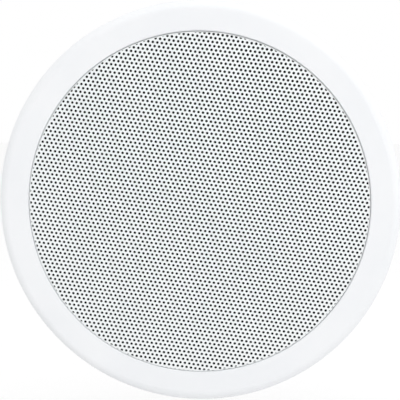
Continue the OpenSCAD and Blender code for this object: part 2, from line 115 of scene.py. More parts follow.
def relief(tree, shader, pattern, depth):
    """Raises a pattern by a depth in millimetres, over any relief that is there already."""
    bump = tree.nodes.new("ShaderNodeBump")
    bump.inputs["Distance"].default_value = depth * MM
    tree.links.new(pattern, bump.inputs["Height"])
    if shader.inputs["Normal"].links:
        tree.links.new(shader.inputs["Normal"].links[0].from_socket, bump.inputs["Normal"])
    tree.links.new(bump.outputs["Normal"], shader.inputs["Normal"])


def soften(mesh, degrees=32):
    """Smooth shading, with the edges left sharp that turn by more than an angle."""
    mesh.shade_smooth()
    mesh.set_sharp_from_angle(angle=math.radians(degrees))


def dress(node, finish):
    """Gives a node of the solid model its finish."""
    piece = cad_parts[node]
    piece.data.materials.clear()
    piece.data.materials.append(finish)
    soften(piece.data)
    return piece


def galvanised_steel(spangle_size=5):
    """Zinc that has set in flat crystals, each with its own tone and gloss."""
    material, tree, shader = new_finish("galvanised_steel", metal=1.0)
    place = tree.nodes.new("ShaderNodeTexCoord").outputs["Object"]
    spangle = tree.nodes.new("ShaderNodeTexVoronoi")
    spangle.inputs["Scale"].default_value = 1 / (spangle_size * MM)
    tree.links.new(place, spangle.inputs["Vector"])
    tone = tree.nodes.new("ShaderNodeSeparateColor")
    tree.links.new(spangle.outputs["Color"], tone.inputs["Color"])
    tint(tree, shader, tone.outputs["Red"], (0.44, 0.46, 0.48), (0.62, 0.64, 0.66), 0.0, 1.0)
    polish(tree, shader, tone.outputs["Green"], 0.32, 0.5)
    relief(tree, shader, noise(tree, 0.6), 0.004)
    return material


dress("wall_plate", galvanised_steel())


# Cable grommet
# A black rubber ring that snaps into the plate's raised middle, with the sheet's edge in its groove.
# It is moulded with soft lips, and the speaker cable of the house comes through its hole.


def bench_box(node):
    """Low and high corner of a node on the bench, in millimetres, with z as its height above the wall."""
    low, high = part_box(node)
    return (low.x / MM, low.z / MM, -high.y / MM), (high.x / MM, high.z / MM, -low.y / MM)


def eased(corners, steps=5):
    """A closed outline of (radius, height) points, from corners that each have a rounding."""
    outline = []
    for i, (r, z, rounding) in enumerate(corners):
        here = Vector((r, z))
        if not rounding:
            outline.append((r, z))
            continue
        back = (Vector(corners[i - 1][:2]) - here).normalized()
        ahead = (Vector(corners[(i + 1) % len(corners)][:2]) - here).normalized()
        half = back.angle(ahead) / 2
        centre = here + (back + ahead).normalized() * (rounding / math.sin(half))
        first = here + back * (rounding / math.tan(half)) - centre
        last = here + ahead * (rounding / math.tan(half)) - centre
        turn = first.angle_signed(last)
        for k in range(steps + 1):
            angle = -turn * k / steps
            spoke = Matrix.Rotation(angle, 2) @ first
            outline.append(tuple(centre + spoke))
    return outline


def add_piece(name, points, faces, slot, finish, sharp=32):
    """A new piece from its faces and its points on the bench, in millimetres."""
    mesh = bpy.data.meshes.new(name)
    mesh.from_pydata([(x * MM, -z * MM, y * MM) for x, y, z in points], [], faces)
    clean = bmesh.new()
    clean.from_mesh(mesh)
    bmesh.ops.remove_doubles(clean, verts=clean.verts, dist=1e-3 * MM)
    bmesh.ops.dissolve_degenerate(clean, dist=1e-4 * MM, edges=clean.edges)
    bmesh.ops.recalc_face_normals(clean, faces=clean.faces)
    clean.to_mesh(mesh)
    clean.free()
    mesh.materials.append(finish)
    soften(mesh, sharp)
    piece = bpy.data.objects.new(name, mesh)
    bpy.context.scene.collection.objects.link(piece)
    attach(piece, "root")
    return piece


def band(near, far, count):
    """Faces between two rings of points, each ring given by the number of its first point."""
    return [(near + k, near + (k + 1) % count, far + (k + 1) % count, far + k) for k in range(count)]


def turned(outline, steps=128, centre=(0, 0, 0)):
    """Points and faces of a closed outline turned round the bench's upright axis."""
    count = len(outline)
    points = []
    faces = []
    for k in range(steps):
        angle = 2 * math.pi * k / steps
        for r, z in outline:
            points.append((centre[0] + r * math.cos(angle), centre[1] + r * math.sin(angle), centre[2] + z))
        faces += band(k * count, (k + 1) % steps * count, count)
    return points, faces


def black_rubber():
    """Moulded rubber with a dull bloom."""
    material, tree, shader = new_finish("black_rubber")
    bloom = noise(tree, 9)
    tint(tree, shader, bloom, (0.012, 0.012, 0.013), (0.035, 0.034, 0.033))
    polish(tree, shader, bloom, 0.5, 0.72)
    relief(tree, shader, noise(tree, 0.25), 0.006)
    return material


lip_width = 3
lip_height = 1.8
ring_width = 6.4
(_, _, lip_low), (lip_radius, _, lip_high) = bench_box("cable_grommet")
waist_radius = lip_radius - lip_width
bore_radius = lip_radius - ring_width
sheet_low = lip_low + lip_height
sheet_high = lip_high - lip_height
grommet_outline = eased([
    (bore_radius, lip_low, 0.5), (lip_radius, lip_low, 0.6), (lip_radius, sheet_low, 0.3),
    (waist_radius, sheet_low, 0), (waist_radius, sheet_high, 0), (lip_radius, sheet_high, 0.3),
    (lip_radius - 1, lip_high, 0.7), (bore_radius, lip_high, 0.5)])
grommet = add_piece("grommet_ring", *turned(grommet_outline), "grommet_rubber", black_rubber())
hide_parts("cable_grommet")


# Housing
# The drum behind the rim, moulded in white plastic with a drafted wall, long screw bosses and webs inside.
# Its hollow back has ribs and the three hooks that the plate's tongues slide behind.


def moulded_white(name, dark, light):
    """White moulded plastic with the fine spark texture of the tool."""
    material, tree, shader = new_finish(name)
    tint(tree, shader, noise(tree, 40), dark, light)
    polish(tree, shader, noise(tree, 2.5), 0.38, 0.5)
    relief(tree, shader, noise(tree, 0.45, detail=2), 0.006)
    relief(tree, shader, noise(tree, 14, detail=1), 0.02)
    return material


# The housing's white is a darker copy of the rim's white plastic. It is painted shade, so that the drum's
# side doesn't clip to white under the lamp at the right.
dress("housing", moulded_white("housing_plastic", (0.82, 0.832, 0.85), (0.855, 0.866, 0.882)))


# Damping pad
# A strip of white polyester wadding on the housing's floor, above the magnet, that soaks up the sound
# behind the cone. It is cut from a roll, so it is lofty, uneven and rounded at its edges.


def wadding():
    """Tufts of loose white fibres."""
    material, tree, shader = new_finish("wadding")
    tufts = noise(tree, 2.2, detail=6, rough=0.75)
    tint(tree, shader, tufts, (0.62, 0.61, 0.58), (0.86, 0.86, 0.84))
    polish(tree, shader, tufts, 0.85, 0.98)
    relief(tree, shader, noise(tree, 0.5, detail=5, rough=0.8, stretch=(1, 3, 1)), 0.25)
    return material


pad_slack = 0.4
pad_width = 31.1
pad_start = math.radians(15.6)
pad_end_share = 1 / 16
thinnest_end = 0.08
end_narrowing = 0.1
tuft_depth = 0.05
# Roundness of the pad's sides and of its crown: 1 is a circle, and less is fuller
side_roundness, crown_roundness = 0.5, 0.6
pad_long_steps, pad_round_steps = 96, 40
(_, _, pad_low), (_, pad_outer, pad_high) = bench_box("damping_pad")


def tuft(angle, turn):
    """Uneven share of the full size at a place of the pad, from two waves that cross."""
    waves = math.sin(23 * angle + 3 * turn) * math.sin(5 * turn + 11 * angle)
    return 1 - tuft_depth * (1 + waves)


def wadding_mesh():
    """A bent bolster with full sides, thinner towards both ends and uneven with tufts."""
    middle = pad_outer - pad_slack - pad_width / 2
    thickness = pad_high - pad_slack - pad_low
    points = []
    faces = []
    for k in range(pad_long_steps + 1):
        along = k / pad_long_steps
        angle = pad_start + (math.pi - 2 * pad_start) * along
        from_end = min(min(along, 1 - along) / pad_end_share, 1)
        plump = thinnest_end + (1 - thinnest_end) * math.sqrt(1 - (1 - from_end) ** 2)
        for j in range(pad_round_steps):
            turn = 2 * math.pi * j / pad_round_steps
            across = math.copysign(abs(math.cos(turn)) ** side_roundness, math.cos(turn))
            rise = math.copysign(abs(math.sin(turn)) ** crown_roundness, math.sin(turn))
            uneven = tuft(angle, turn)
            narrow = 1 - end_narrowing + end_narrowing * plump
            radius = middle + pad_width / 2 * across * uneven * narrow
            height = pad_low + thickness * (0.5 + 0.5 * rise * uneven) * (plump if rise > 0 else 1)
            points.append((radius * math.cos(angle), radius * math.sin(angle), max(height, pad_low)))
        if k < pad_long_steps:
            faces += band(k * pad_round_steps, (k + 1) * pad_round_steps, pad_round_steps)
    faces.append(tuple(range(pad_round_steps)))
    faces.append(tuple(pad_long_steps * pad_round_steps + j for j in range(pad_round_steps)))
    return points, faces


pad = add_piece("wadding_pad", *wadding_mesh(), "wadding", wadding(), sharp=70)
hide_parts("damping_pad")


# Crossover board
# A small laminate board on four posts beside the magnet. It is etched on its upper face and covered with
# green lacquer, and its parts are soldered to tinned pads.


def lacquered_board():
    """Green lacquer, with the laminate's weave as relief."""
    material, tree, shader = new_finish("board_laminate")
    tint(tree, shader, noise(tree, 6), (0.008, 0.075, 0.035), (0.015, 0.12, 0.055))
    shader.inputs["Roughness"].default_value = 0.3
    weave = noise(tree, 0.5, stretch=(1, 1, 4))
    relief(tree, shader, weave, 0.02)
    return material


def tinned_copper():
    """Tin that has gone dull in patches."""
    material, tree, shader = new_finish("tinned_copper", metal=1.0)
    dull = noise(tree, 1.5)
    tint(tree, shader, dull, (0.52, 0.52, 0.5), (0.75, 0.74, 0.7))
    polish(tree, shader, dull, 0.2, 0.38)
    relief(tree, shader, noise(tree, 0.3), 0.01)
    return material


def dome(points, faces, centre, radius, rise, sides=16, rows=4):
    """Adds a flat-bottomed drop, such as a solder joint, to a list of points and faces."""
    first = len(points)
    for j in range(rows):
        lift = math.pi / 2 * j / rows
        for k in range(sides):
            angle = 2 * math.pi * k / sides
            points.append((centre[0] + radius * math.cos(lift) * math.cos(angle),
                           centre[1] + radius * math.cos(lift) * math.sin(angle),
                           centre[2] + rise * math.sin(lift)))
    points.append((centre[0], centre[1], centre[2] + rise))
    for j in range(rows - 1):
        faces += band(first + j * sides, first + (j + 1) * sides, sides)
    top = first + (rows - 1) * sides
    faces += [(top + k, top + (k + 1) % sides, len(points) - 1) for k in range(sides)]
    faces.append(tuple(first + k for k in reversed(range(sides))))


dress("crossover_board", lacquered_board())
_, (_, _, board_top) = bench_box("crossover_board")
tinned = tinned_copper()

# Where the leads and the feet of the parts are soldered, as x and y on the bench
input_joint, tweeter_joint = (-8, -57), (12, -56.6)
woofer_joints = ((-5, -56.6), (5, -56.6))
capacitor_feet = ((4.6, -65), (21, -65))
resistor_feet = ((2.6, -75.4), (22.2, -75.4))
choke_feet = ((-16.4, -58.2), (-1.8, -81))
lead_drop = {"radius": 1.9, "rise": 0.7}
foot_drop = {"radius": 1.1, "rise": 0.6}
joint_points = []
joint_faces = []
for spot in (input_joint, *woofer_joints, tweeter_joint):
    dome(joint_points, joint_faces, (*spot, board_top), **lead_drop)
for spot in (*capacitor_feet, *resistor_feet, *choke_feet):
    dome(joint_points, joint_faces, (*spot, board_top), **foot_drop)
add_piece("solder_joints", joint_points, joint_faces, "plated_steel", tinned, sharp=60)


# Inductor
# Enamelled copper wire wound in layers on a black moulded bobbin, glued upright to the board. It keeps the
# high notes away from the woofer.


def moulded_black(name):
    """Black moulded plastic, slightly glossy."""
    material, tree, shader = new_finish(name)
    sink = noise(tree, 12)
    tint(tree, shader, sink, (0.014, 0.014, 0.016), (0.03, 0.03, 0.033))
    polish(tree, shader, sink, 0.32, 0.48)
    relief(tree, shader, noise(tree, 0.4), 0.006)
    return material


def enamelled_copper():
    """Copper under a clear coat of enamel."""
    material, tree, shader = new_finish("enamelled_copper", metal=1.0)
    dull = noise(tree, 3)
    tint(tree, shader, dull, (0.42, 0.14, 0.05), (0.72, 0.3, 0.12))
    polish(tree, shader, dull, 0.18, 0.32)
    relief(tree, shader, noise(tree, 0.3), 0.004)
    shader.inputs["Coat Weight"].default_value = 0.6
    return material


def wound(inner, outer, low, high, turns, steps=4):
    """Outline of a winding: flat inside, with a round ridge for each turn of wire outside."""
    wire = (high - low) / turns
    outline = [(inner, low), (outer - wire / 2, low)]
    for i in range(turns):
        for k in range(1, steps + 1):
            angle = math.pi * k / steps
            outline.append((outer - wire / 2 + wire / 2 * math.sin(angle),
                            low + (i + 0.5) * wire - wire / 2 * math.cos(angle)))
    outline.append((inner, high))
    return outline


black_plastic = moulded_black("black_plastic")
copper = enamelled_copper()
dress("inductor_bobbin", black_plastic)
choke_core = 5.0
choke_turns = 14
(choke_left, choke_down, choke_low), (choke_right, choke_up, choke_high) = bench_box("inductor_winding")
choke_axis = ((choke_left + choke_right) / 2, (choke_down + choke_up) / 2, 0)
choke_outline = wound(choke_core, (choke_right - choke_left) / 2, choke_low, choke_high, choke_turns)
choke = add_piece("choke_wire", *turned(choke_outline, 64, choke_axis), "copper_wire", copper, sharp=70)
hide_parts("inductor_winding")


# Capacitor and resistor
# A film capacitor in a yellow wrap and a cement resistor in a white ceramic boat. Both lie flat on the
# board, with their tinned wires bent down to the pads.


def tube(points, faces, route, radius, sides=12):
    """Adds a round tube with closed ends, along a route of points."""
    first = len(points)
    path = [Vector(spot) for spot in route]
    for i, spot in enumerate(path):
        along = (path[min(i + 1, len(path) - 1)] - path[max(i - 1, 0)]).normalized()
        aside = along.cross(Vector((1, 0, 0)) if abs(along.x) < 0.9 else Vector((0, 0, 1))).normalized()
        up = aside.cross(along)
        for k in range(sides):
            angle = 2 * math.pi * k / sides
            points.append(tuple(spot + radius * (math.cos(angle) * aside + math.sin(angle) * up)))
    for i in range(len(path) - 1):
        faces += band(first + i * sides, first + (i + 1) * sides, sides)
    faces.append(tuple(first + k for k in reversed(range(sides))))
    faces.append(tuple(len(points) - sides + k for k in range(sides)))


def yellow_wrap():
    """Glossy yellow tape with slight wrinkles."""
    material, tree, shader = new_finish("yellow_wrap")
    tint(tree, shader, noise(tree, 5), (0.62, 0.44, 0.06), (0.74, 0.55, 0.1))
    shader.inputs["Roughness"].default_value = 0.25
    relief(tree, shader, noise(tree, 1.2), 0.02)
    return material


def cement():
    """Pale cement with fine pores."""
    material, tree, shader = new_finish("cement")
    pores = noise(tree, 0.7, detail=6, rough=0.7)
    tint(tree, shader, pores, (0.6, 0.59, 0.54), (0.8, 0.79, 0.74))
    polish(tree, shader, pores, 0.75, 0.9)
    relief(tree, shader, pores, 0.05)
    return material


dress("resistor", cement())
(film_left, film_down, film_low), (film_right, film_up, film_high) = bench_box("capacitor")
film_radius = (film_up - film_down) / 2
film_length = film_right - film_left
film_centre = ((film_down + film_up) / 2, (film_low + film_high) / 2)
resin_radius, step_radius = 0.55 * film_radius, 0.6 * film_radius
resin_sink, wrap_lip = 0.5, 0.2
film_outline = eased([
    (0, 0, 0), (resin_radius, 0, 0), (step_radius, resin_sink, 0.2), (film_radius, wrap_lip, 0.9),
    (film_radius, film_length - wrap_lip, 0.9), (step_radius, film_length - resin_sink, 0.2),
    (resin_radius, film_length, 0), (0, film_length, 0)])
film_points, film_faces = turned(film_outline, 64)
film_points = [(film_left + z, film_centre[0] + x, film_centre[1] + y) for x, y, z in film_points]
film = add_piece("film_capacitor", film_points, film_faces, "capacitor_film", yellow_wrap())
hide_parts("capacitor")

(cement_left, cement_down, cement_low), (cement_right, cement_up, cement_high) = bench_box("resistor")
cement_centre = ((cement_down + cement_up) / 2, (cement_low + cement_high) / 2)
film_wire_root, film_wire_bend, film_wire_radius = 0.5, 0.8, 0.35
cement_wire_root, cement_wire_bend, cement_wire_radius = 0.2, 1.1, 0.4
wire_points = []
wire_faces = []
for start, (x, y) in zip((film_left + film_wire_root, film_right - film_wire_root), capacitor_feet):
    tube(wire_points, wire_faces, [
        (start, *film_centre), (x, *film_centre),
        (x, film_centre[0] - film_wire_bend, film_centre[1] - film_wire_bend), (x, y, board_top)],
        film_wire_radius)
for start, (x, y) in zip((cement_left + cement_wire_root, cement_right - cement_wire_root), resistor_feet):
    tube(wire_points, wire_faces, [
        (start, *cement_centre), (x, *cement_centre),
        (x, y, cement_centre[1] - cement_wire_bend), (x, y, board_top)], cement_wire_radius)
add_piece("component_wires", wire_points, wire_faces, "plated_steel", tinned, sharp=60)


# Input block
# The two-way terminal block in the hollow back, where the house cable is clamped. The body is moulded in
# black plastic, and each way is a brass barrel with a slotted clamping screw.


def brass_finish():
    """Drawn brass, dull in patches."""
    material, tree, shader = new_finish("brass", metal=1.0)
    dull = noise(tree, 2.5)
    tint(tree, shader, dull, (0.56, 0.4, 0.15), (0.78, 0.6, 0.28))
    polish(tree, shader, dull, 0.25, 0.42)
    relief(tree, shader, noise(tree, 0.3, stretch=(1, 6, 1)), 0.006)
    return material


brass = brass_finish()
dress("input_block", black_plastic)
dress("block_contacts", brass)


# Inner leads
# Stranded copper leads in soft jackets: a black pair from the input block, a red one for each tag of the
# woofer and a yellow one up through the post to the tweeter. Each is soldered at both ends.


def jacket(name, dark, light):
    """Soft vinyl jacket of a lead."""
    material, tree, shader = new_finish(name)
    tint(tree, shader, noise(tree, 4), dark, light)
    polish(tree, shader, noise(tree, 1), 0.35, 0.5)
    relief(tree, shader, noise(tree, 0.8), 0.02)
    return material


def flowing(route, steps=5):
    """A smooth curve through the points of a route."""
    path = [Vector(spot) for spot in route]
    path = [2 * path[0] - path[1]] + path + [2 * path[-1] - path[-2]]
    curve = []
    for i in range(1, len(path) - 2):
        before, start, end, after = path[i - 1:i + 3]
        for k in range(steps):
            t = k / steps
            curve.append(0.5 * (2 * start + (end - before) * t
                                + (2 * before - 5 * start + 4 * end - after) * t ** 2
                                + (3 * start - before - 3 * end + after) * t ** 3))
    curve.append(path[-2])
    return curve


def lead(name, node, routes, radius, slot, finish, sides=12):
    """One node's leads, each a tube along its route."""
    points = []
    faces = []
    for route in routes:
        tube(points, faces, flowing(route), radius, sides)
    piece = add_piece(name, points, faces, slot, finish, sharp=60)
    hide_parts(node)
    return piece


def side_by_side(route, spacing):
    """Two routes in place of one, half the spacing to each side."""
    return [[(x + aside, y, z) for x, y, z in route] for aside in (-spacing / 2, spacing / 2)]


input_route = [(-8, 40, 12), (-8, 40, 15), (-8, 39, 17), (-8, 36, 18), (-8, 20, 18), (-8, 0, 18),
               (-8, -25, 18), (-8, -45, 18), (-8, -50, 19), (-8, -51.6, 21.5), (-8, -52.4, 24),
               (-8, -54, 25.4), (-8, -56.2, 25), (-8, -57, 23.4), (-8, -57, 21.6)]
woofer_route = [(0, -56.6, 21.6), (0, -56.6, 26), (0, -55.6, 31), (0, -53, 36), (0, -49.6, 39.6),
                (0, -47.1, 41.6), (0, -47.1, 43)]
tweeter_route = [(12, -56.6, 21.6), (12, -56.6, 23.4), (11.8, -55, 24.6), (11.4, -52.8, 23.6),
                 (11, -50.6, 20.4), (10.4, -48, 18.4), (8, -38, 17.6), (4, -20, 17.6), (1, -5, 17.8),
                 (0.2, -1.2, 18.8), (0, 0, 21), (0, 0, 25), (0, 0, 40), (0, 0, 55), (0, 0, 67)]
pair_spacing, pair_radius = 1.24, 0.64
tag_spacing, woofer_radius = 10, 0.78
tweeter_radius = 0.88
lead("input_pair", "input_lead", side_by_side(input_route, pair_spacing), pair_radius,
     "lead_jacket", jacket("black_jacket", (0.012, 0.012, 0.012), (0.03, 0.03, 0.03)))
lead("woofer_pair", "woofer_leads", side_by_side(woofer_route, tag_spacing), woofer_radius,
     "red_lead", jacket("red_jacket", (0.32, 0.02, 0.015), (0.45, 0.03, 0.02)))
lead("tweeter_flex", "tweeter_lead", [tweeter_route], tweeter_radius,
     "yellow_lead", jacket("yellow_jacket", (0.5, 0.36, 0.03), (0.66, 0.5, 0.06)))


# Magnet system
# The back plate with its pole, the black ferrite ring and the top plate are glued in a stack. The steel
# parts are turned and zinc plated, and the ferrite is a sintered grey-black ceramic with a matt skin.


wave_period = 0.31


def rings(tree, size, direction="Y"):
    """Fine rings round an axis, as a lathe or a press leaves them, with a size in millimetres."""
    place = tree.nodes.new("ShaderNodeTexCoord").outputs["Object"]
    wave = tree.nodes.new("ShaderNodeTexWave")
    wave.wave_type = "RINGS"
    wave.rings_direction = direction
    wave.inputs["Scale"].default_value = wave_period / (size * MM)
    wave.inputs["Distortion"].default_value = 0.4
    tree.links.new(place, wave.inputs["Vector"])
    return wave.outputs["Fac"]


def plated_steel():
    """Zinc-plated steel with the fine rings of the lathe."""
    material, tree, shader = new_finish("plated_steel", metal=1.0)
    dull = noise(tree, 14)
    tint(tree, shader, dull, (0.5, 0.51, 0.52), (0.68, 0.68, 0.66))
    polish(tree, shader, dull, 0.25, 0.4)
    relief(tree, shader, rings(tree, 0.35), 0.003)
    return material


def ferrite():
    """Sintered ferrite with a matt, grainy skin."""
    material, tree, shader = new_finish("ferrite")
    grains = noise(tree, 0.8, detail=6, rough=0.7)
    tint(tree, shader, grains, (0.02, 0.02, 0.022), (0.055, 0.055, 0.058))
    polish(tree, shader, grains, 0.6, 0.8)
    relief(tree, shader, grains, 0.03)
    return material


plated = plated_steel()
dress("yoke", plated)
dress("top_plate", plated)
dress("magnet", ferrite())


# Woofer frame
# Pressed from one sheet of steel with six windows and powder coated black. It is glued to the top plate,
# and its flange is screwed to the baffle over a foam gasket.


def powder_black():
    """Black powder coat with a fine orange peel."""
    material, tree, shader = new_finish("powder_black")
    tint(tree, shader, noise(tree, 18), (0.018, 0.018, 0.019), (0.035, 0.035, 0.036))
    polish(tree, shader, noise(tree, 3), 0.38, 0.55)
    relief(tree, shader, noise(tree, 0.7, detail=2), 0.03)
    return material


def foam():
    """Soft black foam with open cells."""
    material, tree, shader = new_finish("foam_rubber")
    cells = noise(tree, 0.5, detail=6, rough=0.8)
    tint(tree, shader, cells, (0.008, 0.008, 0.008), (0.04, 0.04, 0.04))
    polish(tree, shader, cells, 0.8, 0.95)
    relief(tree, shader, cells, 0.12)
    return material


dress("basket", powder_black())
dress("driver_gasket", foam())


# Terminal strip
# A strip of brown hard fibre under the frame's tab, with two brass tags. Braided copper leads run from the
# tags through a window of the frame to the back of the cone.


def hard_fibre():
    """Brown fibre, pressed in layers."""
    material, tree, shader = new_finish("hard_fibre")
    layers = noise(tree, 1.2, detail=5, stretch=(1, 4, 1))
    tint(tree, shader, layers, (0.16, 0.07, 0.03), (0.28, 0.14, 0.07))
    polish(tree, shader, layers, 0.55, 0.7)
    relief(tree, shader, layers, 0.02)
    return material


def braid(name):
    """Copper braid, with the strands' crossings as relief."""
    material, tree, shader = new_finish(name, metal=1.0)
    strands = noise(tree, 0.25, detail=2)
    tint(tree, shader, strands, (0.3, 0.1, 0.04), (0.7, 0.32, 0.15))
    polish(tree, shader, strands, 0.3, 0.5)
    relief(tree, shader, strands, 0.08)
    return material


dress("terminal_strip", hard_fibre())
dress("terminal_tags", brass)
_, (_, _, neck) = bench_box("top_plate")
tinsel_route = [(0, -47.1, neck + 9.5), (0, -47.1, neck + 12.5), (0, -45.5, neck + 15.5),
                (0, -42, neck + 17.2), (0, -37.5, neck + 17.2), (0, -33.5, neck + 16.6),
                (0, -31.4, neck + 17.2), (0, -31, neck + 19)]
braid_radius = 0.5
lead("tinsel_braids", "tinsel_leads", side_by_side(tinsel_route, tag_spacing), braid_radius,
     "copper_wire", braid("copper_braid"), sides=10)


# Voice coil
# Fine copper wire wound in one layer on a former of yellow-brown polyimide film, which hangs in the gap
# between the pole and the top plate.


def film_of_former():
    """Yellow-brown film with a soft sheen."""
    material, tree, shader = new_finish("former_film")
    sheen = noise(tree, 5)
    tint(tree, shader, sheen, (0.36, 0.19, 0.05), (0.5, 0.28, 0.08))
    polish(tree, shader, sheen, 0.2, 0.35)
    relief(tree, shader, noise(tree, 0.6, stretch=(1, 3, 1)), 0.01)
    return material


dress("coil_former", film_of_former())
coil_thickness = 0.55
coil_turns = 22
(_, _, coil_low), (coil_radius, _, coil_high) = bench_box("voice_coil")
coil_outline = wound(coil_radius - coil_thickness, coil_radius, coil_low, coil_high, coil_turns, steps=3)
voice_coil = add_piece("coil_wire", *turned(coil_outline, 96), "copper_wire", copper, sharp=70)
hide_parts("voice_coil")


# Spider, cone and surround
# The spider is a disc of resin-stiffened cloth pressed into waves, which centres the coil. The cone is
# pressed from dark paper pulp. The surround is a half-roll of butyl rubber, glued to the frame under a
# moulded ring.


def stiffened_cloth():
    """Cloth stiffened with amber resin, with its threads as relief."""
    material, tree, shader = new_finish("stiffened_cloth")
    threads = noise(tree, 0.4, detail=3, stretch=(1, 1, 3))
    tint(tree, shader, threads, (0.42, 0.3, 0.12), (0.62, 0.48, 0.24))
    polish(tree, shader, threads, 0.75, 0.9)
    relief(tree, shader, threads, 0.06)
    return material


def pulp():
    """Dark paper pulp with loose fibres and the faint rings of the press."""
    material, tree, shader = new_finish("cone_paper")
    fibres = noise(tree, 1.1, detail=7, rough=0.75)
    tint(tree, shader, fibres, (0.018, 0.018, 0.02), (0.06, 0.058, 0.056))
    polish(tree, shader, fibres, 0.75, 0.92)
    relief(tree, shader, fibres, 0.06)
    relief(tree, shader, rings(tree, 6), 0.12)
    return material


def butyl():
    """Smooth black rubber with a faint bloom."""
    material, tree, shader = new_finish("butyl_rubber")
    bloom = noise(tree, 11)
    tint(tree, shader, bloom, (0.012, 0.012, 0.012), (0.028, 0.027, 0.026))
    polish(tree, shader, bloom, 0.42, 0.6)
    relief(tree, shader, noise(tree, 0.5), 0.01)
    return material


dress("spider", stiffened_cloth())
dress("cone", pulp())
dress("surround", butyl())
dress("front_ring", moulded_black("ring_plastic"))


# Tweeter
# A small dome tweeter stands on a moulded post in the bore of the pole. Its cup holds a nickel-plated
# magnet and a dome of stiff pale film, and a flared face ring clamps the film.


def nickel():
    """Nickel plate with a light haze."""
    material, tree, shader = new_finish("nickel", metal=1.0)
    haze = noise(tree, 6)
    tint(tree, shader, haze, (0.6, 0.59, 0.55), (0.72, 0.7, 0.66))
    polish(tree, shader, haze, 0.1, 0.2)
    relief(tree, shader, noise(tree, 0.5), 0.002)
    return material


def dome_film():
    """Stiff pale film, slightly hazy."""
    material, tree, shader = new_finish("dome_film")
    haze = noise(tree, 4)
    tint(tree, shader, haze, (0.5, 0.47, 0.38), (0.62, 0.6, 0.5))
    polish(tree, shader, haze, 0.15, 0.28)
    relief(tree, shader, noise(tree, 1.5), 0.01)
    return material


dress("tweeter_post", black_plastic)
dress("tweeter_cup", black_plastic)
dress("tweeter_face", black_plastic)
dress("tweeter_magnet", nickel())
dress("tweeter_dome", dome_film())


# Rim and baffle
# The front is one white moulding: a broad flat rim with a rounded outer edge, the groove for the grille and
# the baffle that carries the woofer. Six screws behind the grille hold it to the housing.

dress("front_bezel", moulded_white("white_plastic", (0.885, 0.899, 0.92), (0.912, 0.922, 0.938)))


# Screws
# Zinc-plated pan-head screws with a cross recess. The ones in plastic cut their own thread; six hold the
# front, four the woofer, four the board and two the input block, and one locks the housing to the plate.


def zinc():
    """Bright zinc plate, dull in patches."""
    material, tree, shader = new_finish("zinc", metal=1.0)
    dull = noise(tree, 1.6)
    tint(tree, shader, dull, (0.5, 0.52, 0.54), (0.68, 0.69, 0.7))
    polish(tree, shader, dull, 0.22, 0.36)
    relief(tree, shader, noise(tree, 0.4), 0.004)
    return material


# The thread, with its core and its blunt point as shares of the shank's radius
core_share = 0.78
point_share = 0.25
point_turns = 1.5
ridge_steepness = 3.2
rows_per_turn = 6


def thread_radius(z, share, shank_radius, length, pitch):
    """Radius of a shank at a height and a share of a turn. The thread dies out at both ends."""
    core = core_share * shank_radius
    phase = (z / pitch - share) % 1
    ridge = max(0, 1 - abs(phase - 0.5) * ridge_steepness)
    near_head = min(1, -z / pitch)
    near_point = min(1, (z + length) / (point_turns * pitch) + point_share)
    return (core + (shank_radius - core) * near_head * ridge) * near_point


# The head: the height of its edge is a share of its own height, and the others are shares of its radius
underside_share = 0.97
edge_height_share = 0.12
crown_edge_share = 0.985
crown_curve_share = 1.6


def screw_mesh(shank_radius, head_radius, head_height, length, pitch, sides=24, crown_rows=7):
    """Head and threaded shank of a screw that stands on its point, as points and faces."""
    shank_rows = int(length / pitch * rows_per_turn)
    crown = crown_curve_share * head_radius
    rings_up = []
    for j in range(shank_rows + 1):
        z = -length + length * j / shank_rows
        rings_up.append([(thread_radius(z, k / sides, shank_radius, length, pitch), z)
                         for k in range(sides)])
    rings_up.append([(underside_share * head_radius, 0)] * sides)
    rings_up.append([(head_radius, edge_height_share * head_height)] * sides)
    for k in range(crown_rows):
        r = crown_edge_share * head_radius * (1 - k / crown_rows)
        rings_up.append([(r, head_height - crown + math.sqrt(crown ** 2 - r ** 2))] * sides)
    points = [(0, 0, -length)]
    for ring in rings_up:
        for k, (r, z) in enumerate(ring):
            angle = 2 * math.pi * k / sides
            points.append((r * math.cos(angle), r * math.sin(angle), z))
    points.append((0, 0, head_height))
    faces = [(0, 1 + (k + 1) % sides, 1 + k) for k in range(sides)]
    for j in range(len(rings_up) - 1):
        faces += band(1 + j * sides, 1 + (j + 1) * sides, sides)
    last = 1 + (len(rings_up) - 1) * sides
    faces += [(last + k, last + (k + 1) % sides, len(points) - 1) for k in range(sides)]
    return points, faces


def recess_cutter(head_radius, head_height):
    """A cross of two bars, longer and wider above than below, that cuts the recess in a screw's head."""
    half = 0.6 * head_radius
    width = 0.13 * head_radius
    width_taper = 0.4
    floor_height, floor_scale = 0.35 * head_height, 0.45
    mouth_height, mouth_scale = head_height + 0.5, 1.15
    points = []
    faces = []
    for turn in (0, math.pi / 2):
        first = len(points)
        for z, scale in ((floor_height, floor_scale), (mouth_height, mouth_scale)):
            for x, y in ((-half, -width), (half, -width), (half, width), (-half, width)):
                px, py = x * scale, y * (1 - width_taper + width_taper * scale)
                points.append((px * math.cos(turn) - py * math.sin(turn),
                               px * math.sin(turn) + py * math.cos(turn), z))
        faces += [tuple(first + i for i in (3, 2, 1, 0)), tuple(first + i for i in (4, 5, 6, 7))]
        faces += band(first, first + 4, 4)
    return points, faces


def plain_object(name, points, faces):
    """A mesh in metres that is used for cutting and isn't kept."""
    mesh = bpy.data.meshes.new(name)
    mesh.from_pydata([(x * MM, y * MM, z * MM) for x, y, z in points], [], faces)
    tool = bpy.data.objects.new(name, mesh)
    bpy.context.scene.collection.objects.link(tool)
    return tool


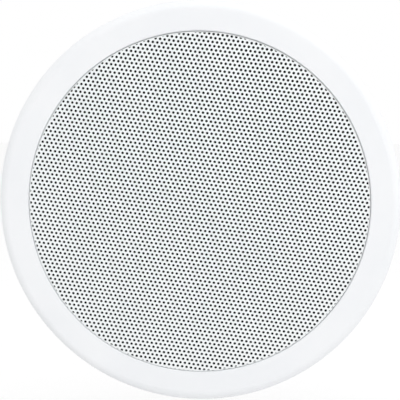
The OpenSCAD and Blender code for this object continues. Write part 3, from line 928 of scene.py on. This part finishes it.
def screws(name, node, places, size):
    """One group of like screws, each stood at a place by its own matrix on the bench."""
    head = plain_object("cut_screw", *screw_mesh(**size))
    bars = plain_object("cut_cross", *recess_cutter(size["head_radius"], size["head_height"]))
    cut = head.modifiers.new("recess", "BOOLEAN")
    cut.object = bars
    cut.use_self = True
    shaped = head.evaluated_get(bpy.context.evaluated_depsgraph_get()).to_mesh()
    bench_points = [tuple(v.co / MM) for v in shaped.vertices]
    bench_faces = [tuple(p.vertices) for p in shaped.polygons]
    points = []
    faces = []
    for place in places:
        first = len(points)
        points += [tuple(place @ Vector(spot)) for spot in bench_points]
        faces += [tuple(first + i for i in face) for face in bench_faces]
    bpy.data.objects.remove(bars)
    bpy.data.objects.remove(head)
    piece = add_piece(name, points, faces, "zinc_screws", zinc_plate, sharp=35)
    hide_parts(node)
    return piece


def upright(x, y, z, turn=0.0):
    """Place of a screw whose head looks away from the wall."""
    return Matrix.Translation((x, y, z)) @ Matrix.Rotation(turn, 4, "Z")


def upright_circle(count, radius, height, first=0.0, twist=0.5):
    """Places of upright screws on a circle, each cross turned further than the one before."""
    places = []
    for i in range(count):
        angle = math.radians(first + 360 * i / count)
        places.append(upright(radius * math.cos(angle), radius * math.sin(angle), height, twist * i))
    return places


zinc_plate = zinc()

front_size = {"shank_radius": 1.55, "head_radius": 3.6, "head_height": 2.4, "length": 14, "pitch": 1.3}
_, (front_reach, _, front_heads) = bench_box("bezel_screws")
front_circle = front_reach - front_size["head_radius"]
baffle_top = front_heads - front_size["head_height"]
screws("front_screws", "bezel_screws", upright_circle(6, front_circle, baffle_top, twist=0.7), front_size)

frame_size = {"shank_radius": 1.55, "head_radius": 2.8, "head_height": 2.0, "length": 12, "pitch": 1.3}
screw_to_edge = 3.1
_, (flange_radius, _, flange_top) = bench_box("basket")
frame_circle = flange_radius - screw_to_edge
screws("frame_screws", "driver_screws", upright_circle(4, frame_circle, flange_top, first=45), frame_size)

board_size = {"shank_radius": 1.05, "head_radius": 2.4, "head_height": 1.6, "length": 6, "pitch": 0.9}
board_holes = [(x, y) for x in (-24, 24) for y in (-78, -58)]
screws("small_board_screws", "board_screws",
       [upright(x, y, board_top, 0.3 * x) for x, y in board_holes], board_size)

block_size = {"shank_radius": 1.05, "head_radius": 2.4, "head_height": 1.6, "length": 8, "pitch": 0.9}
block_holes = [(x, 40) for x in (-16, 16)]
(_, _, block_heads), _ = bench_box("block_screws")
block_back = block_heads + block_size["head_height"]
screws("small_block_screws", "block_screws",
       [Matrix.Translation((x, y, block_back)) @ Matrix.Rotation(math.pi, 4, "X") for x, y in block_holes],
       block_size)

lock_size = {"shank_radius": 1.85, "head_radius": 3.6, "head_height": 2.2, "length": 11, "pitch": 0.7}
(_, lock_head, lock_low), (_, _, lock_high) = bench_box("lock_screw")
lock_seat = Vector((0, lock_head + lock_size["head_height"], (lock_low + lock_high) / 2))
screws("locking_screw", "lock_screw",
       [Matrix.Translation(lock_seat) @ Matrix.Rotation(math.pi / 2, 4, "X")], lock_size)


# Acoustic cloth
# Thin black woven cloth glued flat to the back of the grille. It lets the sound through and makes every
# hole of the sheet look black from the front.


def black_weave(thread_size=0.45):
    """Black cloth, with the crossing threads as relief."""
    material, tree, shader = new_finish("black_weave")
    place = tree.nodes.new("ShaderNodeTexCoord").outputs["Object"]
    cross = []
    for direction in ("X", "Z"):
        threads = tree.nodes.new("ShaderNodeTexWave")
        threads.bands_direction = direction
        threads.inputs["Scale"].default_value = wave_period / (thread_size * MM)
        threads.inputs["Distortion"].default_value = 0.6
        tree.links.new(place, threads.inputs["Vector"])
        cross.append(threads.outputs["Fac"])
    weave = tree.nodes.new("ShaderNodeMath")
    weave.operation = "MAXIMUM"
    tree.links.new(cross[0], weave.inputs[0])
    tree.links.new(cross[1], weave.inputs[1])
    tint(tree, shader, weave.outputs["Value"], (0.003, 0.004, 0.0045), (0.01, 0.013, 0.014))
    polish(tree, shader, weave.outputs["Value"], 0.85, 0.95)
    shader.inputs["Specular IOR Level"].default_value = 0.2
    relief(tree, shader, weave.outputs["Value"], 0.05)
    return material


cloth_inset = 0.6
cloth_rings, cloth_steps = 24, 96
cloth_radius = bench_box("grille")[1][0] - cloth_inset
(_, _, cloth_back), (_, _, cloth_front) = bench_box("grille_cloth")


def cloth_mesh():
    """A thin flat disc, with rings of faces on both sides and a hem round the edge."""
    points = []
    faces = []
    for height in (cloth_back, cloth_front):
        first = len(points)
        for j in range(cloth_rings):
            radius = cloth_radius * (j + 1) / cloth_rings
            for k in range(cloth_steps):
                angle = 2 * math.pi * k / cloth_steps
                points.append((radius * math.cos(angle), radius * math.sin(angle), height))
        points.append((0, 0, height))
        for j in range(cloth_rings - 1):
            faces += band(first + j * cloth_steps, first + (j + 1) * cloth_steps, cloth_steps)
        faces += [(len(points) - 1, first + k, first + (k + 1) % cloth_steps) for k in range(cloth_steps)]
    hem = (cloth_rings - 1) * cloth_steps
    faces += band(hem, first + hem, cloth_steps)
    return points, faces


cloth = add_piece("woven_cloth", *cloth_mesh(), "acoustic_cloth", black_weave())
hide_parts("grille_cloth")


# Grille
# Steel sheet with fine round holes on a triangular net, drawn into a shallow pan and powder coated white.
# The holes run to the very edge, and the collar behind the edge is pressed into the groove of the rim.

hole_pitch = 2.5
hole_radius = 0.775
hole_sides = 8
row_turn = math.radians(-7.7)
net_shift = (-0.456, 0.566)
grille_thickness = 0.8
edge_clearance = 0.15
collar_thickness = 0.4
collar_round = 0.15
edge_steps = 288

(_, _, pan_back), (grille_radius, _, pan_front) = bench_box("grille")
pan_radius = grille_radius - edge_clearance
row_height = hole_pitch * math.sqrt(3) / 2


def net_to_sheet(x, y):
    """Turns and shifts a point of the hole net to its place on the sheet."""
    return (x * math.cos(row_turn) - y * math.sin(row_turn) + net_shift[0],
            x * math.sin(row_turn) + y * math.cos(row_turn) + net_shift[1])


def inside_hole(x, y):
    """True for points that lie within a hole of the net."""
    u = (x - net_shift[0]) * math.cos(row_turn) + (y - net_shift[1]) * math.sin(row_turn)
    v = (y - net_shift[1]) * math.cos(row_turn) - (x - net_shift[0]) * math.sin(row_turn)
    found = np.zeros(len(x), bool)
    for step in (0, 1):
        row = np.floor(v / row_height) + step
        stagger = np.where(row % 2 == 0, 0.0, 0.5)
        column = np.round(u / hole_pitch - stagger)
        across = u - (column + stagger) * hole_pitch
        along = v - row * row_height
        reach = np.zeros(len(x))
        for k in range(hole_sides):
            angle = 2 * math.pi * k / hole_sides
            reach = np.maximum(reach, across * math.cos(angle) + along * math.sin(angle))
        found |= reach < hole_radius * math.cos(math.pi / hole_sides)
    return found


def inside_edge(x, y):
    """True for points that lie within the many-sided edge of the sheet."""
    sector = 2 * math.pi / edge_steps
    aside = np.arctan2(y, x) % sector - sector / 2
    return np.hypot(x, y) * np.cos(aside) < pan_radius * math.cos(sector / 2)


def perforated_sheet():
    """Points and triangles of the flat sheet between its holes."""
    same_point = 1e-5
    corners = []
    edges = []
    rows = int(pan_radius / row_height) + 3
    for j in range(-rows, rows + 1):
        for i in range(-rows, rows + 1):
            x = (i + (0.5 if j % 2 else 0)) * hole_pitch
            y = j * row_height
            if math.hypot(*net_to_sheet(x, y)) - hole_radius > pan_radius:
                continue
            first = len(corners)
            for k in range(hole_sides):
                angle = 2 * math.pi * (k + 0.5) / hole_sides
                corners.append(Vector(net_to_sheet(x + hole_radius * math.cos(angle),
                                                   y + hole_radius * math.sin(angle))))
                edges.append((first + k, first + (k + 1) % hole_sides))
    first = len(corners)
    for k in range(edge_steps):
        angle = 2 * math.pi * k / edge_steps
        corners.append(Vector((pan_radius * math.cos(angle), pan_radius * math.sin(angle))))
        edges.append((first + k, first + (k + 1) % edge_steps))
    flat, _, triangles, *_ = geometry.delaunay_2d_cdt(corners, edges, [], 0, same_point)
    flat = np.array([tuple(p) for p in flat])
    triangles = np.array([tuple(t) for t in triangles])
    middle = flat[triangles].mean(axis=1)
    metal = inside_edge(middle[:, 0], middle[:, 1]) & ~inside_hole(middle[:, 0], middle[:, 1])
    return flat, triangles[metal]


def grille_mesh():
    """The pan: both faces of the sheet, the walls of its holes and its edge, and the collar behind it."""
    flat, triangles = perforated_sheet()
    used = np.unique(triangles)
    renumber = -np.ones(len(flat), int)
    renumber[used] = np.arange(len(used))
    flat = flat[used]
    triangles = renumber[triangles]
    first, second, third = (flat[triangles[:, i]] for i in range(3))
    clockwise = np.cross(second - first, third - first) < 0
    triangles[clockwise] = triangles[clockwise][:, ::-1]
    count = len(flat)
    sheet_back = pan_front - grille_thickness
    points = [(x, y, pan_front) for x, y in flat] + [(x, y, sheet_back) for x, y in flat]
    faces = [tuple(t) for t in triangles] + [tuple(t[::-1] + count) for t in triangles]
    sides = np.vstack([triangles[:, [0, 1]], triangles[:, [1, 2]], triangles[:, [2, 0]]])
    paired = {(int(a), int(b)) for a, b in sides}
    for a, b in paired:
        if (b, a) not in paired:
            faces.append((b, a, a + count, b + count))
    collar_points, collar_faces = turned([
        (pan_radius - collar_thickness, sheet_back), (pan_radius, sheet_back),
        (pan_radius, pan_back + collar_round), (pan_radius - collar_round, pan_back),
        (pan_radius - collar_thickness, pan_back)], edge_steps)
    faces += [tuple(len(points) + i for i in face) for face in collar_faces]
    return points + collar_points, faces


def powder_white():
    """White powder coat with a fine orange peel."""
    material, tree, shader = new_finish("powder_white")
    tint(tree, shader, noise(tree, 30), (0.905, 0.93, 0.935), (0.93, 0.95, 0.955))
    polish(tree, shader, noise(tree, 2), 0.36, 0.48)
    relief(tree, shader, noise(tree, 0.5, detail=2), 0.008)
    return material


grille = add_piece("perforated_grille", *grille_mesh(), "grille_paint", powder_white())
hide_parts("grille")


# Studio
# A plain pale floor below the hanging speaker, which a camera beneath it sees through. The room's light
# grows towards the upper right, with one soft lamp at the right and one above, both in front.


def see_through_light(tree):
    """1 for rays that show the background: those of the camera, of reflections and of clear things."""
    path = tree.nodes.new("ShaderNodeLightPath")
    first = tree.nodes.new("ShaderNodeMath")
    first.operation = "MAXIMUM"
    tree.links.new(path.outputs["Is Camera Ray"], first.inputs[0])
    tree.links.new(path.outputs["Is Glossy Ray"], first.inputs[1])
    second = tree.nodes.new("ShaderNodeMath")
    second.operation = "MAXIMUM"
    tree.links.new(first.outputs["Value"], second.inputs[0])
    tree.links.new(path.outputs["Is Transmission Ray"], second.inputs[1])
    return second.outputs["Value"]


def mixed(tree, factor, low, high):
    """A number that goes from low to high with a factor. The low end may come from another node."""
    span = tree.nodes.new("ShaderNodeMapRange")
    if isinstance(low, bpy.types.NodeSocket):
        tree.links.new(low, span.inputs["To Min"])
    else:
        span.inputs["To Min"].default_value = low
    span.inputs["To Max"].default_value = high
    tree.links.new(factor, span.inputs["Value"])
    return span.outputs["Result"]


def side_light(tree, dim, bright, towards):
    """The room's light, which grows from the dim side to the bright one."""
    slope = tree.nodes.new("ShaderNodeVectorMath")
    slope.operation = "DOT_PRODUCT"
    slope.inputs[1].default_value = towards
    tree.links.new(tree.nodes.new("ShaderNodeTexCoord").outputs["Generated"], slope.inputs[0])
    half = tree.nodes.new("ShaderNodeMath")
    half.operation = "MULTIPLY_ADD"
    half.inputs[1].default_value = 0.5
    half.inputs[2].default_value = 0.5
    tree.links.new(slope.outputs["Value"], half.inputs[0])
    return mixed(tree, half.outputs["Value"], dim, bright)


dim_light, bright_light = 0.68, 1.0
bright_side = (0.71, 0.0, 0.7)
world = bpy.data.worlds.new("studio")
world.use_nodes = True
background = world.node_tree.nodes["Background"]
background.inputs["Color"].default_value = (1, 1, 1, 1)
room_light = side_light(world.node_tree, dim_light, bright_light, bright_side)
world.node_tree.links.new(mixed(world.node_tree, see_through_light(world.node_tree), room_light, 1.0),
                          background.inputs["Strength"])
bpy.context.scene.world = world

floor_drop = 0.06
floor_size = 6.0
floor_glow = 0.2
bpy.ops.mesh.primitive_plane_add(size=floor_size, location=(0, 0, cad_box[0][2] - floor_drop))
floor = bpy.context.object
floor.name = "studio_floor"
floor_finish = bpy.data.materials.new("floor_paint")
floor_finish.use_nodes = True
floor_tree = floor_finish.node_tree
floor_shader = floor_tree.nodes["Principled BSDF"]
floor_shader.inputs["Base Color"].default_value = (0.8, 0.8, 0.8, 1)
floor_shader.inputs["Roughness"].default_value = 0.8
floor_shader.inputs["Emission Color"].default_value = (1, 1, 1, 1)
floor_tree.links.new(mixed(floor_tree, see_through_light(floor_tree), 0.0, floor_glow),
                     floor_shader.inputs["Emission Strength"])
one_sided = floor_tree.nodes.new("ShaderNodeMixShader")
underside = floor_tree.nodes.new("ShaderNodeNewGeometry").outputs["Backfacing"]
floor_tree.links.new(underside, one_sided.inputs["Fac"])
floor_tree.links.new(floor_shader.outputs["BSDF"], one_sided.inputs[1])
floor_tree.links.new(floor_tree.nodes.new("ShaderNodeBsdfTransparent").outputs["BSDF"], one_sided.inputs[2])
floor_tree.links.new(one_sided.outputs["Shader"], floor_tree.nodes["Material Output"].inputs["Surface"])
floor.data.materials.append(floor_finish)


lamp_size = 1.2
lamp_target = Vector((0, -0.06, 0))


def lamp(name, place, power):
    """A square soft box that looks at the middle of the speaker."""
    light = bpy.data.lights.new(name, "AREA")
    light.size = lamp_size
    light.energy = power
    holder = bpy.data.objects.new(name, light)
    holder.location = place
    holder.rotation_euler = (lamp_target - Vector(place)).to_track_quat("-Z", "Y").to_euler()
    bpy.context.scene.collection.objects.link(holder)


lamp("key_light", (1.15, -1.05, 0.5), 3.3)
lamp("top_light", (-0.1, -0.8, 1.4), 3.9)

# The photograph's view: its turn to the right, its rise, and the width that it spans at the grille
photo_turn = math.radians(3.44)
photo_rise = math.radians(6.37)
photo_width = 0.2217
lens = 113.7
look_at = Vector((0.00085, -pan_front * MM, 0.0021))
view_line = Vector((math.sin(photo_turn) * math.cos(photo_rise), -math.cos(photo_turn) * math.cos(photo_rise),
                    math.sin(photo_rise)))
camera_data = bpy.data.cameras.new("camera")
camera_data.lens = lens
camera = bpy.data.objects.new("camera", camera_data)
camera.location = look_at + view_line * (photo_width * lens / camera_data.sensor_width)
camera.rotation_euler = (-view_line).to_track_quat("-Z", "Y").to_euler()
bpy.context.scene.collection.objects.link(camera)
bpy.context.scene.camera = camera
bpy.context.scene.view_settings.view_transform = "Standard"
